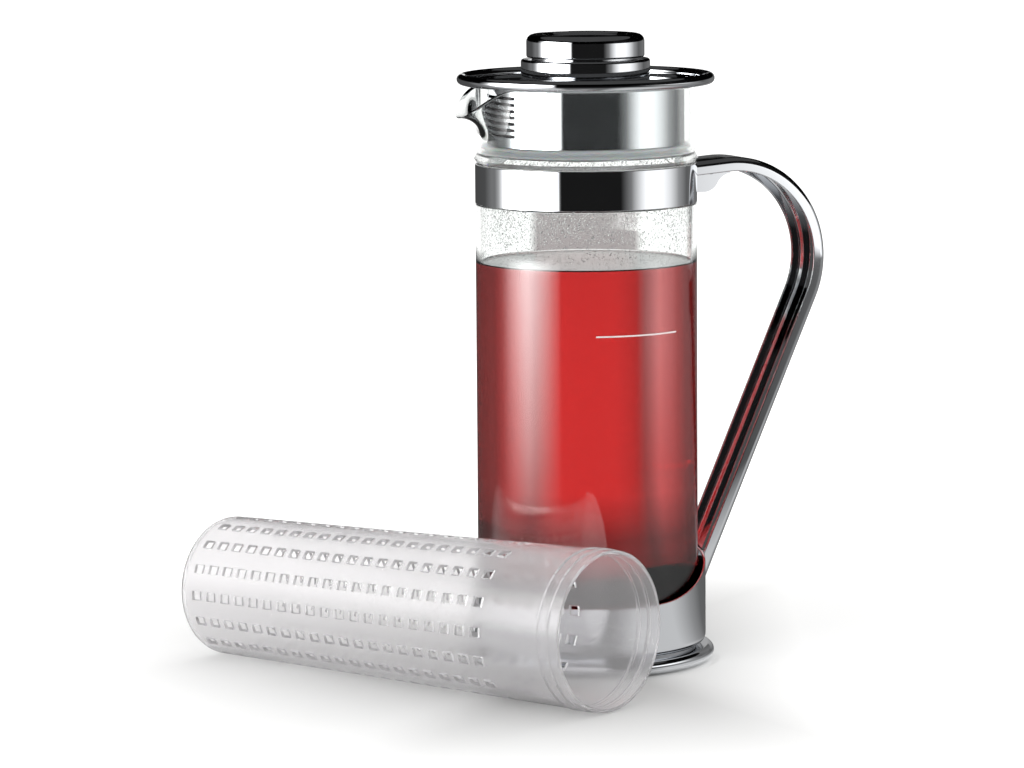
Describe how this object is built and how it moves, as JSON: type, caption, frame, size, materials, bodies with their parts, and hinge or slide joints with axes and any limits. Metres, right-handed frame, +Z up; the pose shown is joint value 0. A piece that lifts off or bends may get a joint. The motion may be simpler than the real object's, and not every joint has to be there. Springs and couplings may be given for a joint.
{
  "type": "iced tea pitcher",
  "caption": "Glass iced tea pitcher in a chromed frame with channel handle, turning lid with slotted pouring skirt, and a perforated infuser tube lying beside it.",
  "frame": {"origin": "on the glass beaker's axis at the underside of the foot", "axes": "+Z up along the beaker's axis, +X towards the handle, -X towards the pouring spout"},
  "size_m": [0.2874, 0.2335, 0.2839],
  "materials": {
    "chrome": "polished chrome plate",
    "steel": "plain machined steel",
    "glass": "clear borosilicate glass",
    "silicone": "translucent silicone",
    "frosted_plastic": "frosted translucent polypropylene",
    "rubber": "matt black rubber"
  },
  "bodies": {
    "pitcher": {"foot_pad": "rubber", "foot_ring": "chrome", "base_cup": "chrome", "glass_cushion": "silicone", "glass_beaker": "glass", "clamp_band": "chrome", "clamp_screw": "steel", "clamp_nut": "steel", "handle": "chrome"},
    "lid_seal": {"lid_gasket": "silicone"},
    "lid": {"lid_cover": "chrome", "lid_skirt": "chrome", "infuser_socket": "frosted_plastic", "knob_collar": "chrome", "lid_knob": "chrome", "knob_screw": "steel", "knob_washer": "silicone"},
    "infuser": {"infuser_tube": "frosted_plastic"}
  },
  "joints": [
    {"name": "lid_lift", "type": "slide", "parent": "pitcher", "child": "lid_seal", "axis": [0, 0, 1], "range_m": [0, 0.05]},
    {"name": "lid_turn", "type": "hinge", "parent": "lid_seal", "child": "lid", "pos_m": [0, 0, 0.25], "axis": [0, 0, 1], "continuous": true},
    {"name": "infuser_lift", "type": "slide", "parent": "pitcher", "child": "infuser", "axis": [0, 0, 1], "range_m": [0, 0.15]}
  ]
}
